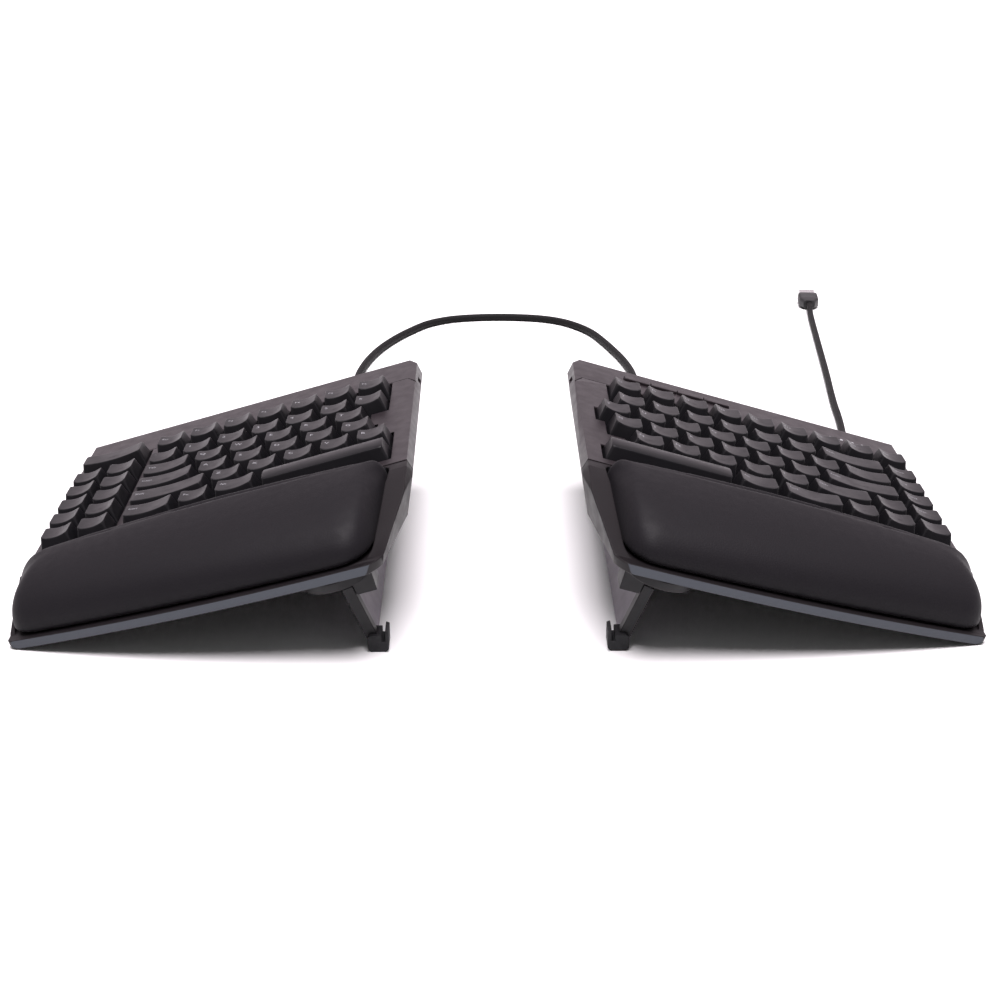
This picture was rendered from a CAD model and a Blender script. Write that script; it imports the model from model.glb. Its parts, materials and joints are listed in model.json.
"""Ergonomic split keyboard: its looks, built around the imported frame.

Each half is tented. A half's own frame has x from its innermost key outwards, y from the front of the
bottom key row backwards and z along the deck's normal, with zero at the key tops. Sizes in that frame are
in millimetres.
"""
import json
import math

import bmesh
import bpy
import numpy as np
from bpy.props import FloatProperty, FloatVectorProperty, IntProperty, PointerProperty
from mathutils import Matrix, Vector
from mathutils.kdtree import KDTree


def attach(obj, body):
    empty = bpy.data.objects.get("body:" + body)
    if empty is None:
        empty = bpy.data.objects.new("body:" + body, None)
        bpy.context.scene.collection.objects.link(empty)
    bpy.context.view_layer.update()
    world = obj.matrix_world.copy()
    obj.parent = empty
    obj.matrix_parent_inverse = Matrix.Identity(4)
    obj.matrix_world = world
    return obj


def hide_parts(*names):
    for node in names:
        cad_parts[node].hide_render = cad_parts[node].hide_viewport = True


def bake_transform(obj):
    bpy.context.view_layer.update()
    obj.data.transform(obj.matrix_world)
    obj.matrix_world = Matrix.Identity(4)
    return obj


bl_info = {
    "name": "Split keyboard",
    "version": (1, 0, 0),
    "blender": (4, 5, 0),
    "location": "View3D > Sidebar > Keyboard",
    "description": "Dresses the packed split keyboard with keys, shells, palm pads, legs and cords",
    "category": "Object",
}

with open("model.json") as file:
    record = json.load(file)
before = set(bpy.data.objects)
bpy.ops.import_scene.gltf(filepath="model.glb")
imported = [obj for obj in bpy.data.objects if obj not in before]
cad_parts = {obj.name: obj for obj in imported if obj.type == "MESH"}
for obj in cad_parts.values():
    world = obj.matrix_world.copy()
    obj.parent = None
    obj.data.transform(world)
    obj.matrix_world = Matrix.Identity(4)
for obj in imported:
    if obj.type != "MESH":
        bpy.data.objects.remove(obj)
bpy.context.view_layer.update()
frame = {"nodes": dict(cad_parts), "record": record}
NODES = frame["nodes"]
RECORD = frame["record"]
BODY_OF = {node: body for body, nodes in RECORD["behaviour"]["bodies"].items() for node in nodes}
SLOT_OF = {entry["node"]: entry["material_slot"] for entry in RECORD["subparts"]}

MM = 0.001
SIGN = {"left": -1, "right": 1}

# Where the halves stand in the room, and their main sizes
HALF_X = 53.5
ROOM_Y = -40.1
KEY_Z = 83.102
TENT = math.radians(16)
PITCH = 19.05
FUNCTION_GAP = 6.4
ROW_COUNT = 6
REAR_Y = 155.2

# Key rows from the rear: where the row starts, and the widths of its keys, in key units outwards
LEFT_ROWS = [
    (0.25, [1] * 7), (0.25, [1] * 7), (0.75, [1] * 5 + [1.5]), (0.5, [1] * 5 + [1.75]), (0, [1] * 5 + [2.25]),
    (0, [3.5, 1.25, 1, 1.5])]
RIGHT_ROWS = [
    (0.5, [1] * 9), (0.5, [1] * 6 + [2, 1]), (0, [1] * 7 + [1.5, 1]), (0.25, [1] * 6 + [2.25, 1]),
    (0.75, [1] * 5 + [1.75, 1, 1]), (0, [3.5, 1.25, 1.75, 1, 1, 1])]
MACRO_START = 7.5


def row_keys(rows, row):
    """The keys of one row as (row, start, width)."""
    start, widths = rows[row]
    return [(row, start + sum(widths[:i]), width) for i, width in enumerate(widths)]


def key_place(key):
    """Centre of a key in its half's frame."""
    row, start, width = key
    front = (ROW_COUNT - 1 - row) * PITCH + (FUNCTION_GAP if row == 0 else 0)
    return (start + width / 2) * PITCH, front + PITCH / 2


LEFT = [row_keys(LEFT_ROWS, row) for row in range(ROW_COUNT)]
RIGHT = [row_keys(RIGHT_ROWS, row) for row in range(ROW_COUNT)]
KEY_GROUPS = {
    "macro_keys": [(0, MACRO_START, 2)] + [
        (row, MACRO_START + c, 1) for row in range(1, ROW_COUNT) for c in (0, 1)],
    "left_function_keys": LEFT[0], "left_number_keys": LEFT[1], "left_upper_keys": LEFT[2],
    "left_home_keys": LEFT[3], "left_lower_keys": LEFT[4][:5], "left_shift_key": LEFT[4][5:],
    "left_modifier_keys": LEFT[5][1:], "left_space_key": LEFT[5][:1],
    "right_function_keys": RIGHT[0], "right_number_keys": RIGHT[1][:7], "right_upper_keys": RIGHT[2][:8],
    "right_home_keys": RIGHT[3][:6], "enter_key": RIGHT[3][6:7], "right_lower_keys": RIGHT[4][:5],
    "right_shift_key": RIGHT[4][5:6], "right_modifier_keys": RIGHT[5][1:3], "right_space_key": RIGHT[5][:1],
    "arrow_keys": RIGHT[4][6:7] + RIGHT[5][3:],
    "navigation_keys": [RIGHT[1][7], RIGHT[2][8], RIGHT[3][7], RIGHT[4][7]],
}

# Routes of the cords in the room, with y from the front of the bottom key row
BRIDGE_ROUTE = [
    (-88, 184, 47), (-88.5, 206, 41), (-89.5, 230, 31), (-90.5, 256, 19), (-91.5, 282, 9.5), (-92, 308, 4),
    (-92, 336, 0), (-91, 366, 0), (-87, 394, 0), (-80.5, 420, 0), (-72, 443, 0), (-61, 465, 0),
    (-47, 486, 0), (-32, 497, 0), (-15, 502, 0), (3, 503.5, 0), (21, 502.5, 0), (37, 499, 0),
    (52, 491, 0), (65, 476.5, 0), (74, 460, 0), (81, 438, 0), (87, 415, 0), (92, 392, 0),
    (95.5, 366, 0), (96, 336, 0), (94.5, 308, 4), (93, 282, 9.5), (91.5, 256, 19), (90, 230, 31),
    (88.5, 206, 41), (88, 184, 47)]
USB_ROUTE = [
    (213.5, 208, 2.8), (214.5, 220, 0), (216.5, 234, 0), (218.5, 250, 0), (220.5, 270, 0), (222.5, 296, 0),
    (225, 322, 0), (228, 350, 0), (231, 380, 0), (233.5, 406, 0), (236, 432, 0), (238.5, 458, 0),
    (241, 484, 0), (243.5, 508, 0)]
PLUG_AT = (246, 530, 4.4)
PLUG_TURN = math.radians(6)
COIL_AT = (176, 192)
TIE_GAP = 0.3
DESK_GAP = 0.05
GLAND_Z = -24.5
BRIDGE_X = 41
USB_X = 171.975
GLAND_LENGTH = 10

# Distance between the points of a cord's line, in metres
CORD_STEP = 0.004
LEAD_STEP = 0.002


def size_property(name, description, value):
    """A size in millimetres that a user may change."""
    return FloatProperty(name=name, description=description + ", in millimetres", default=value)


def colour_property(name, value):
    """A linear colour that a user may change."""
    return FloatVectorProperty(name=name, description=name + " colour", subtype="COLOR", size=3, min=0, max=1,
                               default=value)


class KeyboardKeySizes(bpy.types.PropertyGroup):
    """Sizes of a keycap."""
    gap: size_property("Gap", "Gap between neighbouring keycaps", 0.85)
    height: size_property("Height", "Height of a keycap", 10)
    wall: size_property("Wall", "Wall of a keycap", 1.3)
    draft_side: size_property("Side draft", "Draw-in of the top at each side", 2.2)
    draft_front: size_property("Front draft", "Draw-in of the top at the front", 3)
    draft_rear: size_property("Rear draft", "Draw-in of the top at the rear", 1.6)
    dish: size_property("Dish", "Depth of the dish in a key top", 1.5)
    edge: size_property("Edge", "Rounding of the top's edge", 0.35)


class KeyboardPadShape(bpy.types.PropertyGroup):
    """Shape of a palm pad."""
    crown: size_property("Crown", "Height of the crown above the key tops", 2.8)
    fall: size_property("Fall", "Fall from the back to the front", 3)
    bow: size_property("Bow", "Drop of the crown at the two ends", 3.5)
    swell: size_property("Swell", "Most that the cover may swell", 1.0)


class KeyboardCords(bpy.types.PropertyGroup):
    """Sizes of the cords."""
    bridge: size_property("Bridge cable", "Diameter of the bridge cable", 5.2)
    usb: size_property("USB cord", "Diameter of the USB cord", 4.5)
    turns: IntProperty(name="Turns", description="Turns of the stored coil", default=9)
    step: size_property("Step", "Distance between turns and layers", 5.05)
    coil: size_property("Coil radius", "Radius of the outermost turn", 37)
    tie: size_property("Tie", "Thickness of the tie", 0.8)


class KeyboardColours(bpy.types.PropertyGroup):
    """Base colours of the finishes."""
    case: colour_property("Case", (0.0205, 0.0163, 0.0186))
    under: colour_property("Underside", (0.0155, 0.0128, 0.0145))
    tray: colour_property("Tray", (0.0084, 0.0070, 0.0079))
    rim: colour_property("Rim", (0.062, 0.069, 0.082))
    key: colour_property("Key", (0.0068, 0.0066, 0.0078))
    pad: colour_property("Pad", (0.0066, 0.0058, 0.0074))
    leg: colour_property("Leg", (0.115, 0.098, 0.122))
    rubber: colour_property("Rubber", (0.007, 0.0073, 0.0085))
    legend: colour_property("Legend", (0.30, 0.30, 0.32))
    cord: colour_property("Cord", (0.004, 0.004, 0.0042))


class KeyboardSettings(bpy.types.PropertyGroup):
    """All settings of the keyboard."""
    keys: PointerProperty(type=KeyboardKeySizes)
    pads: PointerProperty(type=KeyboardPadShape)
    cords: PointerProperty(type=KeyboardCords)
    colours: PointerProperty(type=KeyboardColours)


def settings():
    """The scene's keyboard settings."""
    return bpy.context.scene.keyboard


def half_matrix(side):
    """From a half's own frame, in metres and with x already signed, to the room."""
    place = Matrix.Translation((SIGN[side] * HALF_X * MM, ROOM_Y * MM, KEY_Z * MM))
    return place @ Matrix.Rotation(SIGN[side] * TENT, 4, "Y")


def side_of(node):
    """Which half a node belongs to."""
    return "left" if node.startswith("left") or node == "macro_keys" else "right"


def room_point(side, x, y, z):
    """A point of a half's frame in the room."""
    return half_matrix(side) @ (Vector((SIGN[side] * x, y, z)) * MM)


def metres(points):
    """Points in millimetres as vectors in metres."""
    return [Vector(p) * MM for p in points]


def add_object(name, data):
    """A new object in the scene, at the origin."""
    obj = bpy.data.objects.new(name, data)
    bpy.context.scene.collection.objects.link(obj)
    return obj


def finished(bm, name):
    """The mesh of an edit that is done."""
    mesh = bpy.data.meshes.new(name)
    bm.to_mesh(mesh)
    bm.free()
    return mesh


def mesh_from(name, points, faces):
    """A mesh of points in metres, with its faces turned outwards."""
    bm = bmesh.new()
    verts = [bm.verts.new(p) for p in points]
    for face in faces:
        bm.faces.new([verts[i] for i in face])
    bmesh.ops.remove_doubles(bm, verts=bm.verts, dist=1e-7)
    bmesh.ops.recalc_face_normals(bm, faces=bm.faces)
    return finished(bm, name)


def smooth(mesh, angle=40):
    """Smooth shading that keeps edges sharper than the angle."""
    mesh.shade_smooth()
    mesh.set_sharp_from_angle(angle=math.radians(angle))


def baked_mesh(obj, name):
    """The plain mesh that an object's modifiers give."""
    graph = bpy.context.evaluated_depsgraph_get()
    graph.update()
    mesh = bpy.data.meshes.new_from_object(obj.evaluated_get(graph), depsgraph=graph)
    mesh.name = name
    return mesh


def apply_modifiers(obj):
    """Keep what an object's modifiers give as its own plain mesh."""
    obj.data = baked_mesh(obj, obj.name)
    obj.modifiers.clear()


def stand_for(obj, nodes, material=None):
    """The piece rides on its first node's body and stands for all the nodes."""
    if material:
        obj.data.materials.clear()
        obj.data.materials.append(material)
    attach(obj, BODY_OF[nodes[0]])
    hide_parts(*nodes)
    return obj


def loft(rings, close_ends=True):
    """Points and faces of rings of equal length, closed round, with flat ends."""
    count = len(rings[0])
    points = [p for ring in rings for p in ring]
    faces = []
    for k in range(len(rings) - 1):
        for i in range(count):
            j = (i + 1) % count
            faces.append((k * count + i, k * count + j, (k + 1) * count + j, (k + 1) * count + i))
    if close_ends:
        faces.append(tuple(reversed(range(count))))
        faces.append(tuple(range((len(rings) - 1) * count, len(rings) * count)))
    return points, faces


class Finish:
    """A procedural material on the Principled shader."""

    def __init__(self, name, roughness, specular=0.5):
        self.material = bpy.data.materials.new(name)
        self.material.use_nodes = True
        self.nodes = self.material.node_tree.nodes
        self.links = self.material.node_tree.links
        self.shader = self.nodes["Principled BSDF"]
        self.shader.inputs["Roughness"].default_value = roughness
        self.shader.inputs["Specular IOR Level"].default_value = specular
        self.place = self.nodes.new("ShaderNodeTexCoord")
        self.normals = []

    def join(self, out, into):
        """Link two sockets."""
        self.links.new(out, into)

    def mapped(self, source, scale, rotation=(0, 0, 0)):
        """The piece's coordinates, scaled and turned."""
        mapping = self.nodes.new("ShaderNodeMapping")
        mapping.inputs["Scale"].default_value = scale
        mapping.inputs["Rotation"].default_value = rotation
        self.join(self.place.outputs[source], mapping.inputs["Vector"])
        return mapping.outputs["Vector"]

    def noise(self, scale, detail=3, stretch=None):
        """A noise over the piece, as a number between 0 and 1."""
        node = self.nodes.new("ShaderNodeTexNoise")
        node.inputs["Scale"].default_value = scale
        node.inputs["Detail"].default_value = detail
        place = self.mapped("Object", stretch) if stretch else self.place.outputs["Object"]
        self.join(place, node.inputs["Vector"])
        return node.outputs["Fac"]

    def cells(self, scale):
        """Distance from the edges of a cell pattern over the piece."""
        node = self.nodes.new("ShaderNodeTexVoronoi")
        node.feature = "DISTANCE_TO_EDGE"
        node.inputs["Scale"].default_value = scale
        self.join(self.place.outputs["Object"], node.inputs["Vector"])
        return node.outputs["Distance"]

    def larger(self, first, second):
        """The larger of two patterns."""
        node = self.nodes.new("ShaderNodeMath")
        node.operation = "MAXIMUM"
        self.join(first, node.inputs[0])
        self.join(second, node.inputs[1])
        return node.outputs["Value"]

    def spread(self, value, low, high, from_low=0.3, from_high=0.7):
        """Map a pattern onto a range."""
        node = self.nodes.new("ShaderNodeMapRange")
        node.inputs["From Min"].default_value = from_low
        node.inputs["From Max"].default_value = from_high
        node.inputs["To Min"].default_value = low
        node.inputs["To Max"].default_value = high
        self.join(value, node.inputs["Value"])
        return node.outputs["Result"]

    def between(self, first, second, factor):
        """Base colour between two tones."""
        node = self.nodes.new("ShaderNodeMix")
        node.data_type = "RGBA"
        node.inputs["A"].default_value = tuple(first) + (1,)
        node.inputs["B"].default_value = tuple(second) + (1,)
        self.join(factor, node.inputs["Factor"])
        self.join(node.outputs["Result"], self.shader.inputs["Base Color"])

    def colour(self, base, darker, lighter, factor):
        """Base colour between a darker and a lighter tone of it."""
        self.between([c * darker for c in base], [min(1, c * lighter) for c in base], factor)

    def roughness(self, value):
        """Drive the roughness from a pattern."""
        self.join(value, self.shader.inputs["Roughness"])

    def rounding(self, radius):
        """Edges rounded in the shading alone."""
        node = self.nodes.new("ShaderNodeBevel")
        node.samples = 4
        node.inputs["Radius"].default_value = radius
        self.normals.append(node.outputs["Normal"])

    def bump(self, height, depth, strength=1.0):
        """Relief of a depth in metres, on top of any relief added before."""
        node = self.nodes.new("ShaderNodeBump")
        node.inputs["Strength"].default_value = strength
        node.inputs["Distance"].default_value = depth
        self.join(height, node.inputs["Height"])
        if self.normals:
            self.join(self.normals[-1], node.inputs["Normal"])
        self.normals.append(node.outputs["Normal"])
        self.join(node.outputs["Normal"], self.shader.inputs["Normal"])

    def mould_grain(self, smoothest, roughest, depth):
        """Uneven roughness and the fine grain of a spark-eroded mould."""
        self.roughness(self.spread(self.noise(140, 5), smoothest, roughest))
        self.bump(self.noise(2600, 2), depth, 0.6)


def moulded_plastic(name, base, roughness, grain=0.00003, specular=0.5, edge=0):
    """Matte moulded plastic with a fine grain, and edges rounded in the shading where a radius is given."""
    finish = Finish(name, roughness, specular)
    if edge:
        finish.rounding(edge)
    finish.colour(base, 0.88, 1.12, finish.noise(60, 4))
    finish.mould_grain(roughness - 0.05, roughness + 0.06, grain)
    return finish.material


def tray_plastic(base, rim):
    """The tray's dark plastic, with a paler satin on the parts of the rim that face the front."""
    finish = Finish("tray plastic", 0.48, 0.17)
    finish.rounding(0.0008)
    facing = finish.nodes.new("ShaderNodeNewGeometry")
    split = finish.nodes.new("ShaderNodeSeparateXYZ")
    finish.join(facing.outputs["Normal"], split.inputs["Vector"])
    finish.between(base, rim, finish.spread(split.outputs["Y"], 1, 0, -0.99, -0.82))
    finish.mould_grain(0.42, 0.54, 0.00003)
    return finish.material


def pad_leather(base):
    """Smooth black leather-like cover with a fine pebbled grain."""
    finish = Finish("pad cover", 0.56, 0.13)
    finish.colour(base, 0.93, 1.1, finish.noise(38, 5))
    finish.roughness(finish.spread(finish.noise(220, 4), 0.54, 0.62))
    pebble = finish.spread(finish.cells(760), 0, 1, 0, 0.28)
    finish.bump(pebble, 0.00005, 0.45)
    finish.bump(finish.noise(1900, 3), 0.00003, 0.4)
    finish.shader.inputs["Sheen Weight"].default_value = 0.02
    finish.shader.inputs["Sheen Roughness"].default_value = 0.5
    return finish.material


def foot_rubber(base):
    """Matte rubber with a faint bloom."""
    finish = Finish("foot rubber", 0.72, 0.35)
    finish.colour(base, 0.8, 1.7, finish.noise(160, 5))
    finish.roughness(finish.spread(finish.noise(500, 4), 0.64, 0.8))
    finish.bump(finish.noise(1500, 4), 0.00005, 0.5)
    return finish.material


def cord_braid(base):
    """Fine diagonal braid that follows the cord's own length."""
    finish = Finish("cord braid", 0.6, 0.15)
    bands = []
    for turn in (0.9, -0.9):
        wave = finish.nodes.new("ShaderNodeTexWave")
        wave.inputs["Scale"].default_value = 1.0
        finish.join(finish.mapped("UV", (7, 7, 7), (0, 0, turn)), wave.inputs["Vector"])
        bands.append(wave.outputs["Fac"])
    weave = finish.larger(*bands)
    finish.colour(base, 0.55, 1.5, weave)
    finish.roughness(finish.spread(weave, 0.5, 0.66, 0, 1))
    finish.bump(weave, 0.00018, 0.6)
    return finish.material


def brushed_steel(name, base, roughness=0.32):
    """Steel with fine drawing lines along y."""
    finish = Finish(name, roughness)
    finish.shader.inputs["Metallic"].default_value = 1.0
    lines = finish.noise(900, 3, (1, 0.04, 1))
    finish.colour(base, 0.85, 1.1, lines)
    finish.roughness(finish.spread(lines, roughness - 0.06, roughness + 0.08))
    finish.bump(lines, 0.000012, 0.4)
    return finish.material


def milky_housing():
    """Clear, slightly milky switch housings."""
    finish = Finish("switch housing", 0.28, 0.5)
    finish.colour((0.62, 0.6, 0.55), 0.9, 1.1, finish.noise(120, 3))
    finish.shader.inputs["Transmission Weight"].default_value = 0.25
    finish.bump(finish.noise(900, 2), 0.00002, 0.3)
    return finish.material


def board_mask():
    """Green solder mask with fine tracks."""
    finish = Finish("board mask", 0.35, 0.5)
    tracks = finish.spread(finish.cells(260), 0, 1, 0.02, 0.05)
    finish.colour((0.012, 0.06, 0.028), 0.7, 1.5, tracks)
    finish.bump(tracks, 0.00003, 0.5)
    return finish.material


MATERIALS = {}


def make_materials():
    """All finishes, by the record's slot names and by the details that have no slot."""
    tone = settings().colours
    MATERIALS.update({
        "case_grey": moulded_plastic("case shell", tone.case, 0.38, 0.00003, 0.2, edge=0.0006),
        "case_dark": moulded_plastic("under shell", tone.under, 0.5, 0.00003, 0.2, edge=0.0006),
        "tray": tray_plastic(tone.tray, tone.rim),
        "key_black": moulded_plastic("key plastic", tone.key, 0.33, 0.00002, 0.18),
        "bracket_black": moulded_plastic("bracket plastic", tone.key, 0.5, 0.00003, 0.3),
        "leg_grey": moulded_plastic("leg plastic", tone.leg, 0.55, 0.00003),
        "plug_black": moulded_plastic("plug grip", tone.rubber, 0.5, 0.00004),
        "plate_black": moulded_plastic("plate paint", (0.012, 0.012, 0.013), 0.4, 0.00002),
        "stem": moulded_plastic("switch stem", (0.16, 0.06, 0.025), 0.4, 0.00001),
        "legend": moulded_plastic("legend ink", tone.legend, 0.5, 0.00001),
        "light_clear": moulded_plastic("light window", (0.42, 0.43, 0.45), 0.25, 0.00001),
        "pad_black": pad_leather(tone.pad),
        "rubber_black": foot_rubber(tone.rubber),
        "cord_black": cord_braid(tone.cord),
        "tie_black": foot_rubber(tone.cord),
        "screw_steel": brushed_steel("screw steel", (0.42, 0.42, 0.43)),
        "shell_steel": brushed_steel("plug shell", (0.6, 0.6, 0.6), 0.25),
        "switch_clear": milky_housing(),
        "board_green": board_mask(),
    })
    MATERIALS["tie_black"].name = "tie tape"
    for name, node in NODES.items():
        node.data.materials.clear()
        node.data.materials.append(MATERIALS[SLOT_OF[name]])


# Rounding of the rigid solids: which edges count as sharp, and how much of an edge's room is used
SHARP = math.radians(25)
BESIDE = math.radians(30)
ROOM_USED = 0.42
LEAST_SHARE = 0.15
FOLD_SHARE = 1.25
FOLD_AREA = 1e-6
REACHES = (0, 2, 4, 8, 1000)


def room_for(edge):
    """How far an edge may be rounded before it meets the far ends of the edges beside it."""
    least = 1.0
    for loop in edge.link_loops:
        along = loop.link_loop_next.vert.co - loop.vert.co
        for other, way in ((loop.link_loop_prev, -1), (loop.link_loop_next, 1)):
            beside = way * (other.link_loop_next.vert.co - other.vert.co)
            if beside.length > 0 and along.length > 0 and (way * along).angle(beside) > BESIDE:
                least = min(least, beside.length)
    return ROOM_USED * least


def folded_corners(mesh):
    """Corners of the faces that overlap themselves once they are cut into triangles."""
    mesh.calc_loop_triangles()
    cut = np.zeros(len(mesh.polygons))
    for triangle in mesh.loop_triangles:
        cut[triangle.polygon_index] += triangle.area
    return [mesh.vertices[i].co.copy() for face in mesh.polygons for i in face.vertices
            if cut[face.index] > max(FOLD_SHARE * face.area, face.area + FOLD_AREA)]


def rounded_mesh(node, name, radius, segments, spots, reach):
    """A node's mesh with its sharp edges rounded, apart from those within reach of the spots."""
    near = KDTree(len(spots))
    for i, spot in enumerate(spots):
        near.insert(spot, i)
    near.balance()
    bm = bmesh.new()
    bm.from_mesh(NODES[node].data)
    bmesh.ops.remove_doubles(bm, verts=bm.verts, dist=2e-6)
    bmesh.ops.dissolve_limit(bm, angle_limit=math.radians(0.15), verts=bm.verts, edges=bm.edges)
    weight = bm.edges.layers.float.new("bevel_weight_edge")
    for edge in bm.edges:
        sharp = edge.is_manifold and edge.calc_face_angle(0) > SHARP
        free = not spots or min(near.find(vert.co)[2] for vert in edge.verts) > reach
        share = min(1.0, room_for(edge) / radius) if sharp and free else 0.0
        edge[weight] = share if share > LEAST_SHARE else 0.0
    mesh = finished(bm, name)
    obj = add_object(name, mesh)
    bevel = obj.modifiers.new("rounding", "BEVEL")
    bevel.width = radius
    bevel.segments = segments
    bevel.limit_method = "WEIGHT"
    bevel.use_clamp_overlap = False
    rounded = baked_mesh(obj, name)
    bpy.data.objects.remove(obj)
    bpy.data.meshes.remove(mesh)
    return rounded


def soften(node, radius, suffix, segments=2):
    """A copy of a rigid solid with its edges rounded where there is room, which stands for it."""
    name = node + suffix
    spots = []
    for reach in REACHES:
        mesh = rounded_mesh(node, name, radius * MM, segments, spots, reach * radius * MM)
        folded = folded_corners(mesh)
        if not folded:
            break
        spots += folded
    smooth(mesh, 45)
    obj = add_object(name, mesh)
    shading = obj.modifiers.new("shading", "WEIGHTED_NORMAL")
    shading.keep_sharp = True
    apply_modifiers(obj)
    bpy.data.meshes.remove(mesh)
    return stand_for(obj, [node], MATERIALS[SLOT_OF[node]])


def catmull(points, step):
    """A smooth line through the points, with the ends doubled, sampled about every step."""
    pts = [Vector(p) for p in points]
    pts = [2 * pts[0] - pts[1]] + pts + [2 * pts[-1] - pts[-2]]
    line = []
    for a, b, c, d in zip(pts, pts[1:], pts[2:], pts[3:]):
        knots = [0.0]
        for p, q in ((a, b), (b, c), (c, d)):
            knots.append(knots[-1] + max(1e-6, (q - p).length) ** 0.5)
        count = max(2, math.ceil((c - b).length / step))
        for i in range(count):
            t = knots[1] + (knots[2] - knots[1]) * i / count
            one = [a.lerp(b, (t - knots[0]) / (knots[1] - knots[0])),
                   b.lerp(c, (t - knots[1]) / (knots[2] - knots[1])),
                   c.lerp(d, (t - knots[2]) / (knots[3] - knots[2]))]
            two = [one[0].lerp(one[1], (t - knots[0]) / (knots[2] - knots[0])),
                   one[1].lerp(one[2], (t - knots[1]) / (knots[3] - knots[1]))]
            line.append(two[0].lerp(two[1], (t - knots[1]) / (knots[2] - knots[1])))
    line.append(pts[-2])
    return line


def circle(sides):
    """Angles of even steps round a circle."""
    return [2 * math.pi * k / sides for k in range(sides)]


def tube(name, line, radius, sides=16):
    """A closed tube round a line, with a UV map that goes once round and runs along in girths."""
    bm = bmesh.new()
    uv = bm.loops.layers.uv.new("length")
    along = [0.0]
    for p, q in zip(line, line[1:]):
        along.append(along[-1] + (q - p).length)
    rings = []
    side = None
    for i, p in enumerate(line):
        way = (line[min(i + 1, len(line) - 1)] - line[max(i - 1, 0)]).normalized()
        if side is None:
            side = way.cross(Vector((0, 0, 1))).normalized()
        side = (side - way * side.dot(way)).normalized()
        lift = side.cross(way)
        rings.append([bm.verts.new(p + radius * (math.cos(a) * side + math.sin(a) * lift))
                      for a in circle(sides)])
    turn = 2 * math.pi * radius
    for i in range(len(rings) - 1):
        for k in range(sides):
            n = (k + 1) % sides
            face = bm.faces.new((rings[i][k], rings[i + 1][k], rings[i + 1][n], rings[i][n]))
            face.smooth = True
            for loop, (u, v) in zip(face.loops, ((k, i), (k, i + 1), (k + 1, i + 1), (k + 1, i))):
                loop[uv].uv = (u / sides, along[v] / turn)
    bm.faces.new(rings[0])
    bm.faces.new(list(reversed(rings[-1])))
    bmesh.ops.recalc_face_normals(bm, faces=bm.faces)
    return add_object(name, finished(bm, name))


def on_desk(point, radius):
    """A route point in metres, no lower than where the cord lies on the desk."""
    return Vector((point[0], point[1] + ROOM_Y, max(point[2], radius + DESK_GAP))) * MM


def settle(line, radius):
    """Keep a cord's line from sinking into the desk between its points."""
    low = (radius + DESK_GAP) * MM
    return [Vector((p[0], p[1], max(p[2], low))) for p in line]


def gland_tip(side, x):
    """Where a cord leaves its gland."""
    return room_point(side, x, REAR_Y + GLAND_LENGTH, GLAND_Z)


def bridge_line():
    """Route of the bridge cable from the left half to the right."""
    radius = settings().cords.bridge / 2
    return settle(catmull([gland_tip("left", BRIDGE_X)] + [on_desk(p, radius) for p in BRIDGE_ROUTE]
                          + [gland_tip("right", BRIDGE_X)], CORD_STEP), radius)


def coil_line():
    """Route of the stored coil: inwards on the upper layer and outwards on the lower one."""
    cords = settings().cords
    low = cords.tie + TIE_GAP + cords.usb / 2
    half = cords.turns / 2
    line = []
    steps = 48
    for i in range(cords.turns * steps + 1):
        turn = i / steps
        climb = min(1, max(0, (turn - half + 0.25) / 0.5))
        radius = cords.coil - cords.step * min(turn, cords.turns - turn)
        angle = 2 * math.pi * turn
        x = COIL_AT[0] + radius * math.cos(angle)
        y = COIL_AT[1] + ROOM_Y + radius * math.sin(angle)
        line.append(Vector((x, y, low + cords.step * (1 - climb))) * MM)
    return line


def usb_line():
    """Route of the USB cord: out of its gland, round the coil and along the desk to its plug."""
    radius = settings().cords.usb / 2
    start = gland_tip("right", USB_X)
    coil = coil_line()
    first = coil[0] - Vector((0, 2 * radius, 0)) * MM
    last = coil[-1] + Vector((0, 2 * radius, 0)) * MM
    lead = catmull([start, start + Vector((0, 5, -0.5)) * MM, (start + first) / 2 + Vector((0, 1, 0)) * MM,
                    first + Vector((0, -5, 0.5)) * MM, first], LEAD_STEP)
    plug = Vector((PLUG_AT[0], PLUG_AT[1] + ROOM_Y, PLUG_AT[2])) * MM
    along = Vector((math.sin(PLUG_TURN), math.cos(PLUG_TURN), 0))
    route = [last] + [on_desk(p, radius) for p in USB_ROUTE] + [plug - along * 4 * MM, plug]
    cable = catmull(route, CORD_STEP)
    return lead + coil + settle(cable, radius)


def revolve(name, profile, matrix, sides=32):
    """A turned piece: (distance along, radius) pairs round the matrix's z axis."""
    rings = [[matrix @ Vector((r * math.cos(a), r * math.sin(a), z)) for a in circle(sides)]
             for z, r in profile]
    mesh = mesh_from(name, *loft(rings))
    smooth(mesh, 35)
    return add_object(name, mesh)


def rounded_rectangle(half_w, half_h, corner, steps):
    """Points round a rectangle whose corners are arcs of so many steps."""
    points = []
    for quarter, (x, y) in enumerate(((1, 1), (-1, 1), (-1, -1), (1, -1))):
        for k in range(steps + 1):
            a = math.radians(90 * (quarter + k / steps))
            points.append((x * (half_w - corner) + corner * math.cos(a),
                           y * (half_h - corner) + corner * math.sin(a)))
    return points


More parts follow.
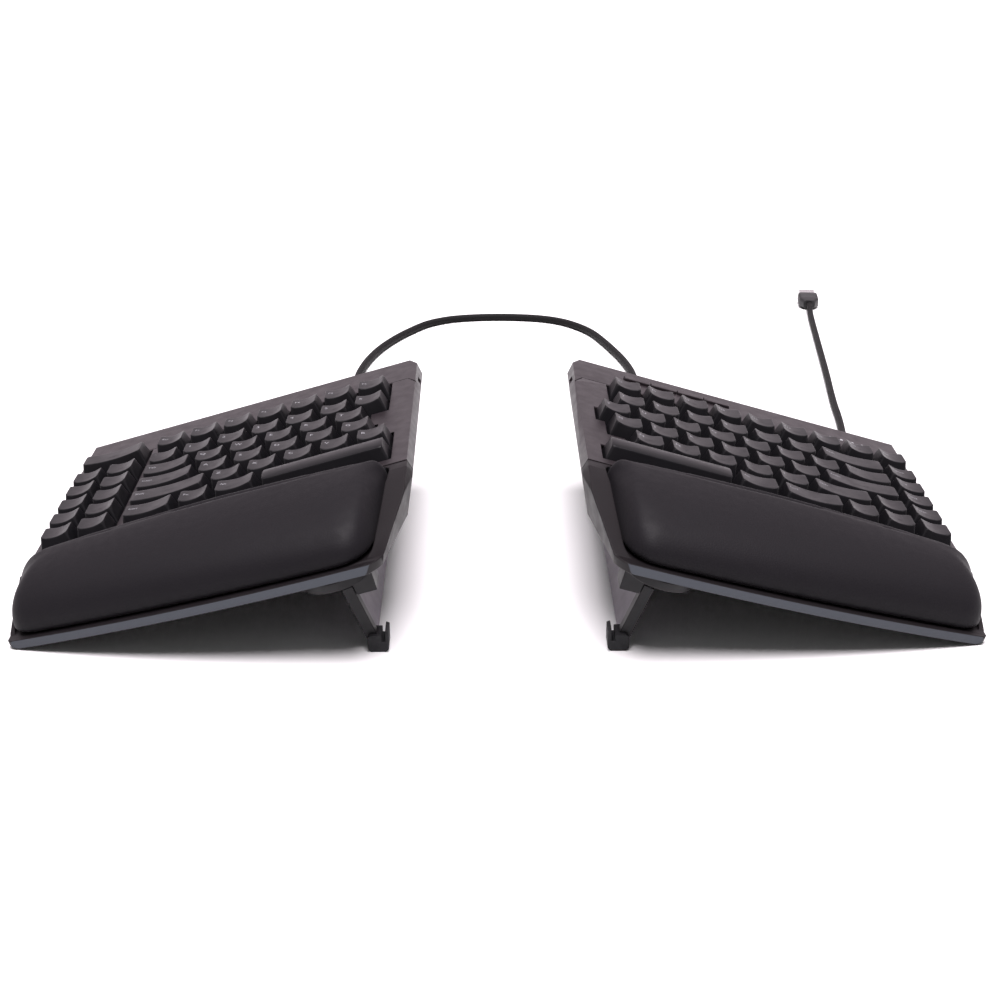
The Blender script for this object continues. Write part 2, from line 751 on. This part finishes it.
def gland_piece(node, side, x, cable):
    """Tapered strain relief with a collar and ribs round the cable."""
    base = room_point(side, x, REAR_Y, GLAND_Z)
    matrix = Matrix.Translation(base) @ Matrix.Rotation(math.radians(-90), 4, "X")
    neck, collar, root, tip = 3.75, 4.4, 4.1, cable / 2 + 0.7
    root_z, first_rib, rib_pitch, ribs, groove, chamfer = 1.6, 1.9, 1.95, 4, 0.55, 0.25
    profile = [(-3.5, neck), (0, neck), (0, collar), (1.2, collar), (root_z, root)]
    for i in range(ribs):
        z = first_rib + i * rib_pitch
        radius = root + (tip - root) * (z - root_z) / (GLAND_LENGTH - root_z)
        profile += [(z, radius - groove), (z + 0.6, radius - groove), (z + 0.8, radius), (z + 1.75, radius)]
    profile += [(GLAND_LENGTH - chamfer, tip), (GLAND_LENGTH, tip - chamfer)]
    obj = revolve(node + "_relief", [(z * MM, r * MM) for z, r in profile], matrix)
    return stand_for(obj, [node], MATERIALS["rubber_black"])


def plug_piece():
    """Moulded plug grip with finger ridges, its open steel shell and the tongue inside."""
    at = Matrix.Translation(Vector((PLUG_AT[0], PLUG_AT[1] + ROOM_Y, PLUG_AT[2])) * MM)
    matrix = at @ Matrix.Rotation(-PLUG_TURN, 4, "Z") @ Matrix.Rotation(math.radians(-90), 4, "X")

    def part(name, sections, drop=0):
        """A piece through sections of half width, half height, corner and distance along the plug."""
        rings = [[matrix @ (Vector((x, y + drop, z)) * MM) for x, y in rounded_rectangle(w, h, corner, 4)]
                 for w, h, corner, z in sections]
        return add_object(name, mesh_from(name, *loft(rings)))

    full, groove, ridges, first_ridge, ridge_pitch = (7.5, 4, 2), (7.0, 3.6, 1.8), 4, 8, 2.2
    sections = [(4.4, 3.2, 2.6, 0), (5.4, 3.6, 2.6, 2), (7.1, 3.9, 2.2, 5), (*full, 6.5)]
    for i in range(ridges):
        z = first_ridge + ridge_pitch * i
        sections += [(*full, z), (*groove, z + 0.3), (*groove, z + 0.9), (*full, z + 1.2)]
    grip = part("usb_plug_grip", sections + [(*full, 20.8), (7.1, 3.7, 1.8, 22)])
    outer, inner = (6, 2.25, 0.5), (5.6, 1.9, 0.3)
    shell = part("usb_plug_shell", [(*outer, 21.5), (*outer, 35.6), (5.9, 2.15, 0.45, 36), (*inner, 36),
                                    (*inner, 24)])
    tongue = part("usb_plug_tongue", [(5.3, 0.85, 0.1, z) for z in (24, 35)], 0.9)
    for obj in (grip, shell):
        smooth(obj.data, 30)
    stand_for(grip, ["usb_plug"], MATERIALS["plug_black"])
    for obj, finish, slot in ((shell, "shell_steel", "screw_steel"), (tongue, "light_clear", "plug_black")):
        obj.data.materials.append(MATERIALS[finish])
        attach(obj, "right_half")
    return [grip, shell, tongue]


def tie_piece():
    """Tape round the coil: a band with rounded corners and chamfered edges."""
    cords = settings().cords
    far = cords.coil - cords.step / 2 + cords.usb / 2 + 0.5
    near = cords.coil - cords.step * cords.turns / 2 - cords.usb / 2 - 1.3
    high = cords.step + cords.usb + 2 * TIE_GAP
    middle = Vector((COIL_AT[0] - (far + near) / 2, COIL_AT[1] + ROOM_Y, cords.tie + high / 2))
    half_w, corner, inside, chamfer = 4, 1.6, 0.02, 0.2
    rings = []
    for grow, y in ((inside, -half_w), (cords.tie - chamfer, -half_w), (cords.tie, chamfer - half_w),
                    (cords.tie, half_w - chamfer), (cords.tie - chamfer, half_w), (inside, half_w)):
        outline = rounded_rectangle((far - near) / 2 + grow, high / 2 + grow, corner + grow, 6)
        rings.append(metres([middle + Vector((x, y, z)) for x, z in outline]))
    mesh = mesh_from("coil_tie_band", *loft(rings + rings[:1], close_ends=False))
    smooth(mesh, 50)
    return stand_for(add_object("coil_tie_band", mesh), ["coil_tie"], MATERIALS["tie_black"])


class KEYBOARD_OT_stage(bpy.types.Operator):
    """Make the camera, the pale floor and the soft studio light"""
    bl_idname = "keyboard.stage"
    bl_label = "Stage"
    lens, sensor = 64.49, 36
    eye, look_down, look_aside = (-7.3, -849.6, 378.65), 21.81, -0.61
    sun_strength, sun_colour, sun_spread, sun_tilt = 5.6, (1, 0.94, 0.98), 36, 12
    sky_light, sky_front, sky_behind, sky_tint = 0.2, 0.2, 1.0, (1, 0.88, 0.95, 1)
    floor_half, floor_tone, far_end = 14, 0.93, 60

    def execute(self, context):
        scene = context.scene
        scene.view_settings.view_transform = "Standard"
        camera = bpy.data.cameras.new("view")
        camera.sensor_fit = "HORIZONTAL"
        camera.sensor_width = self.sensor
        camera.lens = self.lens
        camera.clip_end = self.far_end
        viewer = add_object("view", camera)
        viewer.location = Vector(self.eye) * MM
        viewer.rotation_euler = (math.radians(90 - self.look_down), 0, math.radians(self.look_aside))
        scene.camera = viewer
        self.floor()
        self.world(scene)
        sun = bpy.data.lights.new("softbox", "SUN")
        sun.energy = self.sun_strength
        sun.color = self.sun_colour
        sun.angle = math.radians(self.sun_spread)
        add_object("softbox", sun).rotation_euler = (math.radians(self.sun_tilt), 0, 0)
        return {"FINISHED"}

    def floor(self):
        """A wide white floor that keeps the shadow."""
        size = self.floor_half
        corners = [(-size, -size, 0), (size, -size, 0), (size, size, 0), (-size, size, 0)]
        mesh = mesh_from("floor", corners, [(0, 1, 2, 3)])
        floor = add_object("floor", mesh)
        finish = Finish("floor", 0.9, 0.0)
        finish.colour([self.floor_tone] * 3, 0.995, 1.005, finish.noise(3, 2))
        mesh.materials.append(finish.material)

    def world(self, scene):
        """White to the camera and in reflections from behind, dimmer as light and from the front."""
        world = bpy.data.worlds.new("studio")
        world.use_nodes = True
        scene.world = world
        nodes, links = world.node_tree.nodes, world.node_tree.links
        ground = nodes["Background"]
        path = nodes.new("ShaderNodeLightPath")

        def mix(factor, first, second, kind="FLOAT"):
            """A mix of two ends, each of them a socket or a value."""
            node = nodes.new("ShaderNodeMix")
            node.data_type = kind
            links.new(factor, node.inputs["Factor"])
            for name, end in (("A", first), ("B", second)):
                if isinstance(end, bpy.types.NodeSocket):
                    links.new(end, node.inputs[name])
                else:
                    node.inputs[name].default_value = end
            return node.outputs["Result"]

        coords = nodes.new("ShaderNodeTexCoord")
        split = nodes.new("ShaderNodeSeparateXYZ")
        links.new(coords.outputs["Generated"], split.inputs["Vector"])
        turn = nodes.new("ShaderNodeMapRange")
        for name, value in (("From Min", -0.7), ("From Max", 0.5), ("To Min", self.sky_front),
                            ("To Max", self.sky_behind)):
            turn.inputs[name].default_value = value
        links.new(split.outputs["Y"], turn.inputs["Value"])
        shine = path.outputs["Is Glossy Ray"]
        seen = nodes.new("ShaderNodeMath")
        seen.operation = "MAXIMUM"
        links.new(path.outputs["Is Camera Ray"], seen.inputs[0])
        links.new(path.outputs["Is Transmission Ray"], seen.inputs[1])
        light = mix(shine, self.sky_light, turn.outputs["Result"])
        links.new(mix(seen.outputs["Value"], light, 1.0), ground.inputs["Strength"])
        links.new(mix(shine, (1, 1, 1, 1), self.sky_tint, "RGBA"), ground.inputs["Color"])


class KEYBOARD_OT_cords(bpy.types.Operator):
    """Make the bridge cable, the USB cord with its coil, tie and plug, and the strain reliefs"""
    bl_idname = "keyboard.cords"
    bl_label = "Cords"

    def execute(self, context):
        cords = settings().cords
        reliefs = {node: gland_piece(node, side, x, cable) for node, side, x, cable in (
            ("left_cable_gland", "left", BRIDGE_X, cords.bridge),
            ("right_cable_gland", "right", BRIDGE_X, cords.bridge),
            ("usb_gland", "right", USB_X, cords.usb))}
        line = bridge_line()
        bridge = tube("bridge_cord", line, cords.bridge / 2 * MM)
        bridge.data.materials.append(MATERIALS["cord_black"])
        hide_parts("bridge_cable")
        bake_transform(bridge)
        line = usb_line()
        usb = tube("usb_cord", line, cords.usb / 2 * MM, 12)
        stand_for(usb, ["usb_lead", "usb_coil", "usb_cable"], MATERIALS["cord_black"])
        [reliefs["usb_gland"], tie_piece()] + plug_piece()
        return {"FINISHED"}


class KEYBOARD_OT_shells(bpy.types.Operator):
    """Round the edges of the case shells, palm trays and buttons"""
    bl_idname = "keyboard.shells"
    bl_label = "Shells"

    def execute(self, context):
        for side in SIGN:
            soften(side + "_top_case", 0.5, "_shell", 3)
            soften(side + "_bottom_case", 0.5, "_shell")
            tray = soften(side + "_palm_tray", 0.5, "_shell", 3)
            tray.data.materials[0] = MATERIALS["tray"]
        for i in range(1, 5):
            soften("profile_button_%d" % i, 0.35, "_cap")
        return {"FINISHED"}


class KEYBOARD_OT_legs(bpy.types.Operator):
    """Round the edges of the lift brackets, legs and rubber feet"""
    bl_idname = "keyboard.legs"
    bl_label = "Lift legs"
    bar_ends = (-52, 127.2)
    bar_w = 6.2

    def darken_bars(self, side, leg):
        """Give the leg's two end bars the bracket's darker plastic."""
        leg.data.materials.append(MATERIALS["bracket_black"])
        back = half_matrix(side).inverted()
        for face in leg.data.polygons:
            y = (back @ face.center)[1] / MM
            face.material_index = int(min(y - self.bar_ends[0], self.bar_ends[1] - y) < self.bar_w)

    def execute(self, context):
        for side in SIGN:
            soften(side + "_lift_bracket", 0.5, "_plate")
            self.darken_bars(side, soften(side + "_lift_leg", 0.4, "_panel"))
            soften(side + "_leg_feet", 0.4, "_rubber")
            soften(side + "_edge_feet", 0.1, "_rubber")
        return {"FINISHED"}


class KEYBOARD_OT_pads(bpy.types.Operator):
    """Make the two cushioned palm pads"""
    bl_idname = "keyboard.pads"
    bl_label = "Palm pads"
    in_x, out_x, back_y, low, edge_z, depth = 1, 189.275, -9.4, -26.7, -24.5, 75
    arc_x, arc_y, arc_r, rim_gap = -5, 742, 817, 2.6
    slant_w, slant_top, slant_low, nose_x, nose_run = 9.5, 58, 15, 13, 26
    outer_run, outer_rise, rear_outer, rear_inner, waist = 10, 9, 8, 5, 0.6
    spine_in, spine_out, spine_back = 10, 22, 6.5
    shares = (0.012, 0.03, 0.06, 0.1, 0.16, 0.22, 0.3, 0.38, 0.48, 0.58, 0.7, 0.8, 0.9, 0.96)

    def front(self, x):
        """Front line of the pad, along the rim's arc."""
        return self.arc_y - math.sqrt((self.arc_r - self.rim_gap) ** 2 - (x - self.arc_x) ** 2)

    def outline(self, inset):
        """The pad's drawn-in outline: inner slant, nose, front, outer end and rear."""
        def corner(a, b, c, count):
            return [tuple((1 - s) ** 2 * p + 2 * s * (1 - s) * q + s * s * r for p, q, r in zip(a, b, c))
                    for s in (i / count for i in range(count + 1))]

        xi, xo, yb = self.in_x + inset, self.out_x - inset, self.back_y - inset
        yi, yo = self.front(xi) + inset, self.front(xo) + inset
        start, stop, runs, ends, slants = xi + self.nose_run, xo - self.outer_run, 36, 8, 12
        low, high = yo + self.outer_rise, yb - self.rear_outer
        rear_run = xo - xi - self.rear_outer - self.rear_inner
        waves = [math.sin(math.pi * i / runs) * self.waist for i in range(1, runs)]
        along = [(i + 1) / runs for i in range(runs - 1)]
        fall = self.slant_top - self.slant_low
        slant = [(xi + self.slant_w * i / slants, yi + self.slant_top - fall * i / slants)
                 for i in range(slants)]
        nose = corner((xi + self.slant_w, yi + self.slant_low), (xi + self.nose_x, yi),
                      (start, self.front(start) + inset), 16)
        front = [(x, self.front(x) + inset + wave) for x, wave in
                 zip([start + share * (stop - start) for share in along], waves)]
        outer = corner((stop, self.front(stop) + inset), (xo, yo), (xo, low), 10)
        side = [(xo - self.waist * math.sin(math.pi * i / ends), low + (high - low) * i / ends)
                for i in range(1, ends)]
        back = corner((xo, high), (xo, yb), (xo - self.rear_outer, yb), 8)
        rear = [(xo - self.rear_outer - share * rear_run, yb - wave) for share, wave in zip(along, waves)]
        last = corner((xi + self.rear_inner, yb), (xi, yb), (xi, yb - self.rear_inner), 8)
        return slant + nose + front + outer + side + back + rear + last

    def fullness(self, way):
        """How square the section is in a direction: most at the rear, and there more at the inner end."""
        rear = way[1] > 0
        return (3 + (way[1] if rear else 0.8 * way[1]) - 0.25 * max(0, way[0])
                + (max(0, -way[0]) if rear else 0))

    def solid(self):
        """Points and faces of the crowned cushion in the half's frame."""
        shape = settings().pads
        middle = (self.in_x + self.out_x) / 2
        half = self.out_x - middle

        def spine(p):
            x = min(self.out_x - self.spine_out, max(self.in_x + self.spine_in, p[0]))
            return x, self.back_y - self.spine_back

        def top(p):
            return (shape.crown + shape.fall * (p[1] - self.back_y) / self.depth
                    - shape.bow * ((p[0] - middle) / half) ** 2)

        rim = self.outline(0)
        rings = [[(x, y, self.low) for x, y in self.outline(self.rim_gap)]]
        rings.append([(x, y, self.edge_z) for x, y in rim])
        for share in self.shares:
            ring = []
            for p in rim:
                s = spine(p)
                q = (p[0] + share * (s[0] - p[0]), p[1] + share * (s[1] - p[1]))
                way = Vector((p[0] - s[0], p[1] - s[1])).normalized()
                power = self.fullness(way)
                lift = (1 - (1 - share) ** power) ** (1 / power)
                ring.append((q[0], q[1], self.edge_z + (top(q) - self.edge_z) * lift))
            rings.append(ring)
        return loft(rings)

    def cushion(self, name):
        """The cushion's cover, swelled a little by a cloth simulation under pressure."""
        points, faces = self.solid()
        obj = add_object(name, mesh_from(name, metres(points), faces))
        remesh = obj.modifiers.new("voxels", "REMESH")
        remesh.mode = "VOXEL"
        remesh.voxel_size = 0.0012
        apply_modifiers(obj)
        self.swell(obj)
        relax = obj.modifiers.new("relax", "SMOOTH")
        relax.factor = 0.5
        relax.iterations = 3
        apply_modifiers(obj)
        return obj

    def swell(self, obj):
        """Blow the cover up with pressure, pinned where it meets the tray."""
        scene = bpy.context.scene
        rest = np.array([v.co for v in obj.data.vertices])
        held = obj.vertex_groups.new(name="seat")
        held.add([i for i, p in enumerate(rest) if p[2] < (self.edge_z + 1) * MM], 1, "REPLACE")
        cloth = obj.modifiers.new("cover", "CLOTH")
        cover, steps = cloth.settings, 16
        cover.quality = 5
        cover.mass = 0.2
        cover.tension_stiffness = 20
        cover.compression_stiffness = 20
        cover.use_pressure = True
        cover.uniform_pressure_force = 3
        cover.vertex_group_mass = "seat"
        cover.effector_weights.gravity = 0
        cloth.point_cache.frame_start, cloth.point_cache.frame_end = 1, steps
        for step in range(1, steps + 1):
            scene.frame_set(step)
        puffed = baked_mesh(obj, obj.name)
        moved = np.array([v.co for v in puffed.vertices]) - rest
        length = np.linalg.norm(moved, axis=1, keepdims=True)
        most, kept = settings().pads.swell * MM, 0.6
        moved *= np.minimum(1, most / np.maximum(length, 1e-9)) * kept
        for vertex, place in zip(puffed.vertices, rest + moved):
            vertex.co = place
        obj.modifiers.clear()
        obj.vertex_groups.clear()
        obj.data = puffed
        scene.frame_set(1)

    def execute(self, context):
        model = self.cushion("palm_cushion_model")
        for side in SIGN:
            mesh = model.data.copy()
            if side == "left":
                mesh.transform(Matrix.Diagonal((-1, 1, 1, 1)))
                mesh.flip_normals()
            mesh.transform(half_matrix(side))
            mesh.shade_smooth()
            pad = add_object(side + "_palm_cushion", mesh)
            stand_for(pad, [side + "_palm_pad"], MATERIALS["pad_black"])
        bpy.data.objects.remove(model)
        return {"FINISHED"}


# Letters and words on the keys, in the order of each group's keys; groups not named here are bare
LEGENDS = {
    "left_function_keys": "F6 F5 F4 F3 F2 F1 Esc", "left_number_keys": "6 5 4 3 2 1 `",
    "left_upper_keys": "T R E W Q Tab", "left_home_keys": "G F D S A Caps", "left_lower_keys": "B V C X Z",
    "left_shift_key": "Shift", "left_modifier_keys": "Alt Fn Ctrl",
    "right_function_keys": "F7 F8 F9 F10 F11 F12 Prt Pse Del", "right_number_keys": "7 8 9 0 - = Back",
    "right_upper_keys": "Y U I O P [ ] \\", "right_home_keys": "H J K L ; '", "enter_key": "Enter",
    "right_lower_keys": "N M , . /", "right_shift_key": "Shift", "right_modifier_keys": "Alt Ctrl",
    "navigation_keys": "Home End PgUp PgDn",
}


class KEYBOARD_OT_keys(bpy.types.Operator):
    """Make the keycaps with their stems and plain legends, group by group"""
    bl_idname = "keyboard.keys"
    bl_label = "Keys"
    arc_steps, long_steps, short_steps = 4, 10, 3
    bar_width, bar_drop, bar_power = 3, 1.1, 2.6
    foot_corner, top_corner, hollow_corner = 0.7, 1.6, 0.6
    stem_top, stem_depth, cross_height = -9.4, 5, 3.6

    def half_top(self, width):
        """Half the width of a key's top."""
        sizes = settings().keys
        return (width * PITCH - sizes.gap) / 2 - sizes.draft_side

    def dish(self, x, top_x):
        """Depth of the dish at a distance from the key's middle line."""
        return settings().keys.dish * (1 - min(1, abs(x) / top_x) ** 2)

    def ring(self, half_x, front, rear, corner, z):
        """A rounded rectangle, from the front right corner round to the front."""
        corners = [(half_x - corner, front + corner, -90), (half_x - corner, rear - corner, 0),
                   (corner - half_x, rear - corner, 90), (corner - half_x, front + corner, 180)]
        points = []
        for i, (x, y, first) in enumerate(corners):
            for k in range(self.arc_steps + 1):
                a = math.radians(first + 90 * k / self.arc_steps)
                points.append((x + corner * math.cos(a), y + corner * math.sin(a), z))
            nx, ny, following = corners[(i + 1) % 4]
            a = math.radians(following)
            end = (nx + corner * math.cos(a), ny + corner * math.sin(a))
            start = points[-1]
            steps = self.long_steps if i % 2 else self.short_steps
            points += [(start[0] + (end[0] - start[0]) * s, start[1] + (end[1] - start[1]) * s, z)
                       for s in (j / steps for j in range(1, steps))]
        return points

    def cap(self, width):
        """One keycap with its hollow, its top at zero."""
        sizes = settings().keys
        half_x, half_y = (width * PITCH - sizes.gap) / 2, (PITCH - sizes.gap) / 2
        top_x = self.half_top(width)
        front, rear = sizes.draft_front - half_y, half_y - sizes.draft_rear
        middle = (front + rear) / 2

        def relief(p, share):
            if width > self.bar_width:
                drop = self.bar_drop * abs((p[1] - middle) / (rear - middle)) ** self.bar_power
            else:
                drop = self.dish(p[0], top_x)
            return p[0], p[1], p[2] - drop * share

        rings = []
        for t in (0, 0.3, 0.6, 0.82, 0.95):
            level = self.ring(half_x - sizes.draft_side * t, sizes.draft_front * t - half_y,
                              half_y - sizes.draft_rear * t,
                              self.foot_corner + (self.top_corner - self.foot_corner) * t,
                              -sizes.height * (1 - t) - sizes.edge * t)
            rings.append([relief(p, t ** 2) for p in level])
        for a in (30, 60, 90):
            turn = math.radians(a)
            inward = sizes.edge * (1 - math.cos(turn))
            level = self.ring(top_x - inward, front + inward, rear - inward, self.top_corner,
                              sizes.edge * (math.sin(turn) - 1))
            rings.append([relief(p, 1) for p in level])
        edge = rings[-1]
        for share in (0.12, 0.4, 0.75):
            rings.append([relief((p[0] * (1 - share), p[1] + (middle - p[1]) * share, 0), 1) for p in edge])
        wall, roof = sizes.wall, -sizes.wall - sizes.dish - 0.3
        hollow = [self.ring(half_x - wall - s * t, sizes.draft_front * t - half_y + wall,
                            half_y - wall - sizes.draft_rear * t, self.hollow_corner, z)
                  for s, t, z in ((0, 0, -sizes.height), (sizes.draft_side, 0.75, roof))]
        points, faces = loft([hollow[1], hollow[0]] + rings)
        mesh = mesh_from("cap_%g" % width, metres(points), faces)
        smooth(mesh, 32)
        return mesh

    def legend(self, words, width):
        """A legend's letters, laid on the dish near its rear left corner."""
        curve = bpy.data.curves.new("legend", "FONT")
        curve.body = words
        curve.size = (3.6 if len(words) == 1 else 2.7) * MM
        curve.resolution_u = 3
        holder = add_object("legend", curve)
        mesh = baked_mesh(holder, "legend")
        bpy.data.objects.remove(holder)
        top_x, margin, rise, ink = self.half_top(width), 1.6, 1.4, 0.06
        shift = Vector((margin - top_x, rise, 0)) * MM
        for vertex in mesh.vertices:
            place = vertex.co + shift
            vertex.co = (place[0], place[1], (ink - self.dish(place[0] / MM, top_x)) * MM)
        return mesh

    def stem(self):
        """One switch stem: a block in its well with a cross on it."""
        top, low = self.stem_top, self.stem_top - self.stem_depth
        half_w, half_d, arm, half = 3.4, 2.8, 2, 0.65
        block = [(half_w, -half_d), (half_w, half_d), (-half_w, half_d), (-half_w, -half_d)]
        points, faces = loft([[(x * s, y * s, z) for x, y in block] for s, z in (
            (0.94, low), (1, low + 0.4), (1, top - 0.3), (0.94, top))])
        cross = [(half, -arm), (half, -half), (arm, -half), (arm, half), (half, half), (half, arm)]
        cross += [(-x, -y) for x, y in cross]
        more, sides = loft([[(x, y, z) for x, y in cross] for z in (top, top + self.cross_height)])
        count = len(points)
        return mesh_from("stem", metres(points + more),
                         faces + [tuple(i + count for i in face) for face in sides])

    def tree(self):
        """Node tree that puts a cap and a stem on every key's place."""
        tree = bpy.data.node_groups.new("keys on places", "GeometryNodeTree")
        for name, kind in (("Places", "Geometry"), ("Cap", "Object"), ("Stem", "Object"),
                           ("Cap finish", "Material"), ("Stem finish", "Material")):
            tree.interface.new_socket(name, in_out="INPUT", socket_type="NodeSocket" + kind)
        tree.interface.new_socket("Keys", in_out="OUTPUT", socket_type="NodeSocketGeometry")
        source, target = tree.nodes.new("NodeGroupInput"), tree.nodes.new("NodeGroupOutput")
        join = tree.nodes.new("GeometryNodeJoinGeometry")
        for piece in ("Stem", "Cap"):
            info = tree.nodes.new("GeometryNodeObjectInfo")
            tree.links.new(source.outputs[piece], info.inputs["Object"])
            spots = tree.nodes.new("GeometryNodeInstanceOnPoints")
            tree.links.new(source.outputs["Places"], spots.inputs["Points"])
            tree.links.new(info.outputs["Geometry"], spots.inputs["Instance"])
            real = tree.nodes.new("GeometryNodeRealizeInstances")
            tree.links.new(spots.outputs["Instances"], real.inputs["Geometry"])
            paint = tree.nodes.new("GeometryNodeSetMaterial")
            tree.links.new(real.outputs["Geometry"], paint.inputs["Geometry"])
            tree.links.new(source.outputs[piece + " finish"], paint.inputs["Material"])
            tree.links.new(paint.outputs["Geometry"], join.inputs["Geometry"])
        tree.links.new(join.outputs["Geometry"], target.inputs["Keys"])
        return tree

    def placed(self, tree, name, side, keys, cap, stem):
        """Keys of one width on their places, as a plain mesh in the room."""
        places = bpy.data.meshes.new(name)
        places.from_pydata([(SIGN[side] * x * MM, y * MM, 0) for x, y in map(key_place, keys)], [], [])
        holder = add_object(name, places)
        nodes = holder.modifiers.new("keys", "NODES")
        nodes.node_group = tree
        inputs = {"Cap": cap, "Stem": stem, "Cap finish": MATERIALS["key_black"],
                  "Stem finish": MATERIALS["stem"]}
        for item in tree.interface.items_tree:
            if item.in_out == "INPUT" and item.name in inputs:
                nodes[item.identifier] = inputs[item.name]
        mesh = baked_mesh(holder, name)
        bpy.data.objects.remove(holder)
        mesh.transform(half_matrix(side))
        return mesh

    def execute(self, context):
        widths = sorted({key[2] for keys in KEY_GROUPS.values() for key in keys})
        caps = {width: add_object("cap_%g" % width, self.cap(width)) for width in widths}
        stem = add_object("stem", self.stem())
        tree = self.tree()
        finishes = [MATERIALS[name] for name in ("key_black", "stem", "legend")]
        for node, keys in KEY_GROUPS.items():
            side = side_of(node)
            bm = bmesh.new()
            for width in sorted({key[2] for key in keys}):
                alike = [key for key in keys if key[2] == width]
                mesh = self.placed(tree, node + "_%g" % width, side, alike, caps[width], stem)
                order = [finishes.index(m) if m else 0 for m in mesh.materials]
                for face in mesh.polygons:
                    face.material_index = order[face.material_index]
                bm.from_mesh(mesh)
                bpy.data.meshes.remove(mesh)
            for key, words in zip(keys, LEGENDS.get(node, "").split()):
                mesh = self.legend(words, key[2])
                x, y = key_place(key)
                mesh.transform(half_matrix(side) @ Matrix.Translation(Vector((SIGN[side] * x, y, 0)) * MM))
                for face in mesh.polygons:
                    face.material_index = len(finishes) - 1
                bm.from_mesh(mesh)
                bpy.data.meshes.remove(mesh)
            joined = finished(bm, node + "_caps")
            for finish in finishes:
                joined.materials.append(finish)
            smooth(joined, 32)
            stand_for(add_object(node + "_caps", joined), [node])
        for model in list(caps.values()) + [stem]:
            bpy.data.objects.remove(model)
        return {"FINISHED"}


class KEYBOARD_PT_panel(bpy.types.Panel):
    """Lists the steps that dress the keyboard"""
    bl_idname = "KEYBOARD_PT_panel"
    bl_label = "Split keyboard"
    bl_space_type = "VIEW_3D"
    bl_region_type = "UI"
    bl_category = "Keyboard"

    def draw(self, context):
        for operator in STEPS:
            self.layout.operator(operator.bl_idname)


STEPS = (KEYBOARD_OT_stage, KEYBOARD_OT_cords, KEYBOARD_OT_shells, KEYBOARD_OT_legs, KEYBOARD_OT_pads,
         KEYBOARD_OT_keys)
GROUPS = (KeyboardKeySizes, KeyboardPadShape, KeyboardCords, KeyboardColours, KeyboardSettings)


def register():
    """Register the settings, the steps and the panel."""
    for group in GROUPS + STEPS + (KEYBOARD_PT_panel,):
        bpy.utils.register_class(group)
    bpy.types.Scene.keyboard = PointerProperty(type=KeyboardSettings)


def unregister():
    """Take everything out again."""
    del bpy.types.Scene.keyboard
    for group in reversed(GROUPS + STEPS + (KEYBOARD_PT_panel,)):
        bpy.utils.unregister_class(group)


def main():
    register()
    make_materials()
    for name in ("stage", "cords", "shells", "legs", "pads", "keys"):
        getattr(bpy.ops.keyboard, name)()


if __name__ == "__main__":
    main()
